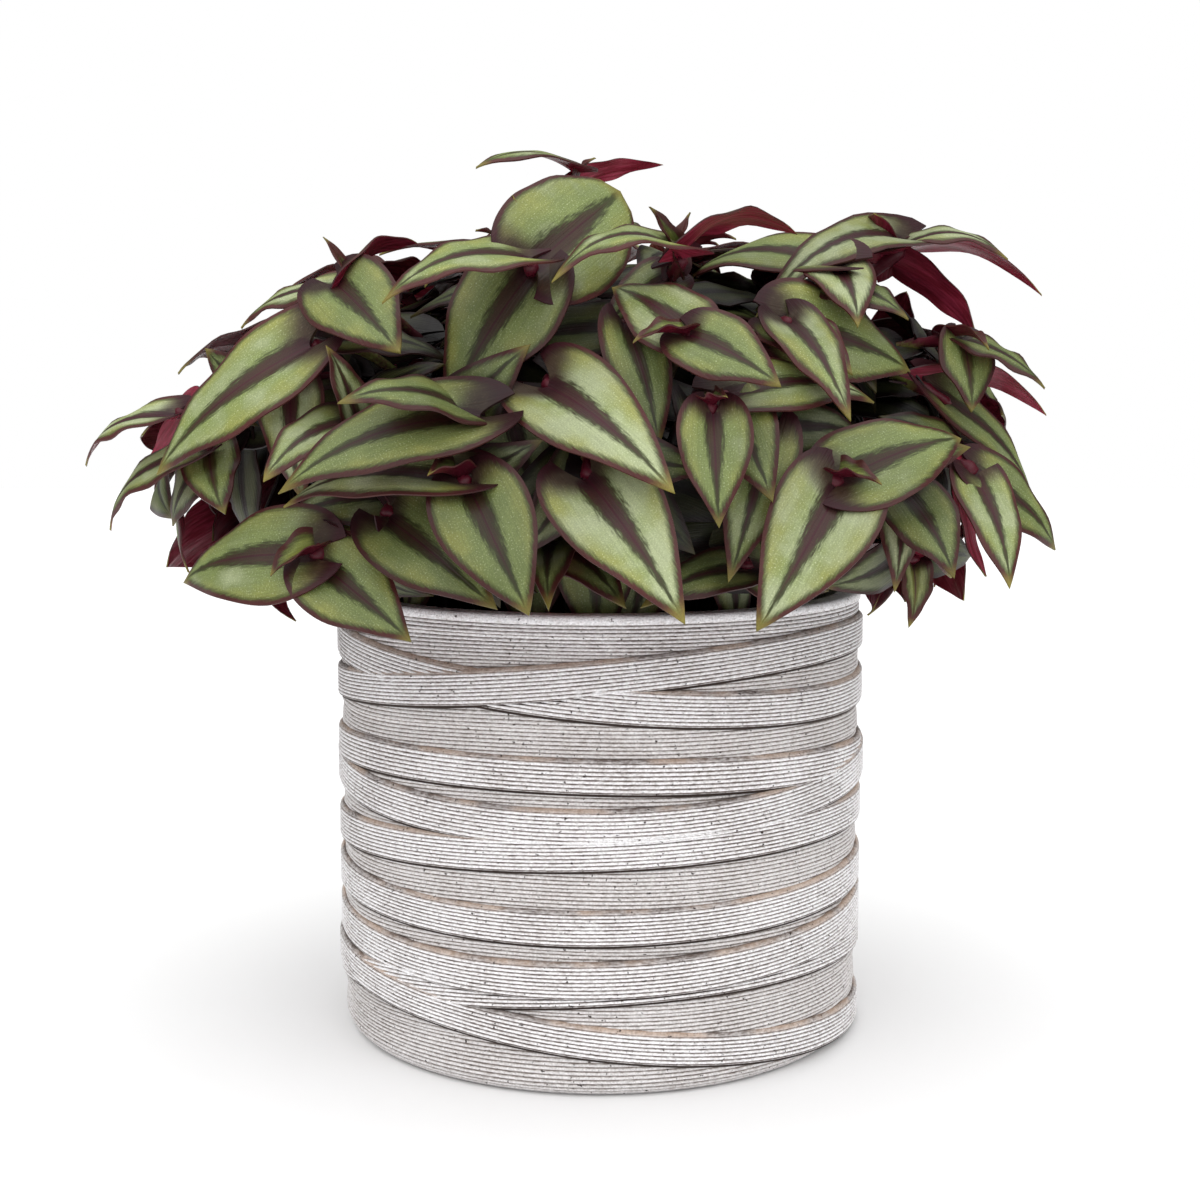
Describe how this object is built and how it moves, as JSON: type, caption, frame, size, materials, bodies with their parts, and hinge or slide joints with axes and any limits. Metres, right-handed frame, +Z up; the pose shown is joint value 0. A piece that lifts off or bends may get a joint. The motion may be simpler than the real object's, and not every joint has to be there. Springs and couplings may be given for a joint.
{
  "type": "potted trailing plant",
  "caption": "Bushy trailing houseplant with striped pointed leaves, growing over the rim of a round pot wrapped in ribbed straps.",
  "frame": {"origin": "centre of the pot's flat base, which rests on the ground", "axes": "+Z up along the pot's axis; -Y the front that the picture shows; +X to its right"},
  "size_m": [0.2571, 0.2284, 0.2453],
  "materials": {
    "pot": "matt whitewash over ribbed clay, worn through to tan in the grooves",
    "soil": "loose dark potting soil, matt",
    "foliage": "satin green with silvery stripes, a dark purple rib and margin, and wine-red undersides"
  },
  "bodies": {
    "root": {"pot": "pot", "soil": "soil", "leafy_stem_01": "foliage", "leafy_stem_02": "foliage", "leafy_stem_03": "foliage", "leafy_stem_04": "foliage", "leafy_stem_05": "foliage", "leafy_stem_06": "foliage", "leafy_stem_07": "foliage", "leafy_stem_08": "foliage", "leafy_stem_09": "foliage", "leafy_stem_10": "foliage", "leafy_stem_11": "foliage", "leafy_stem_12": "foliage", "leafy_stem_13": "foliage", "leafy_stem_14": "foliage", "leafy_stem_15": "foliage", "leafy_stem_16": "foliage", "leafy_stem_17": "foliage", "leafy_stem_18": "foliage", "leafy_stem_19": "foliage", "leafy_stem_20": "foliage", "leafy_stem_21": "foliage", "leafy_stem_22": "foliage", "leafy_stem_23": "foliage", "leafy_stem_24": "foliage", "leafy_stem_25": "foliage", "leafy_stem_26": "foliage", "leafy_stem_27": "foliage", "leafy_stem_28": "foliage", "leafy_stem_29": "foliage", "leafy_stem_30": "foliage", "leafy_stem_31": "foliage", "leafy_stem_32": "foliage", "leafy_stem_33": "foliage", "leafy_stem_34": "foliage", "leafy_stem_35": "foliage", "leafy_stem_36": "foliage", "leafy_stem_37": "foliage", "leafy_stem_38": "foliage", "leafy_stem_39": "foliage", "leafy_stem_40": "foliage", "leafy_stem_41": "foliage", "leafy_stem_42": "foliage", "leafy_stem_43": "foliage", "leafy_stem_44": "foliage", "leafy_stem_45": "foliage", "leafy_stem_46": "foliage", "leafy_stem_47": "foliage", "leafy_stem_48": "foliage", "leafy_stem_49": "foliage", "leafy_stem_50": "foliage", "leafy_stem_51": "foliage", "leafy_stem_52": "foliage", "leafy_stem_53": "foliage", "leafy_stem_54": "foliage", "leafy_stem_55": "foliage", "leafy_stem_56": "foliage"}
  },
  "joints": []
}
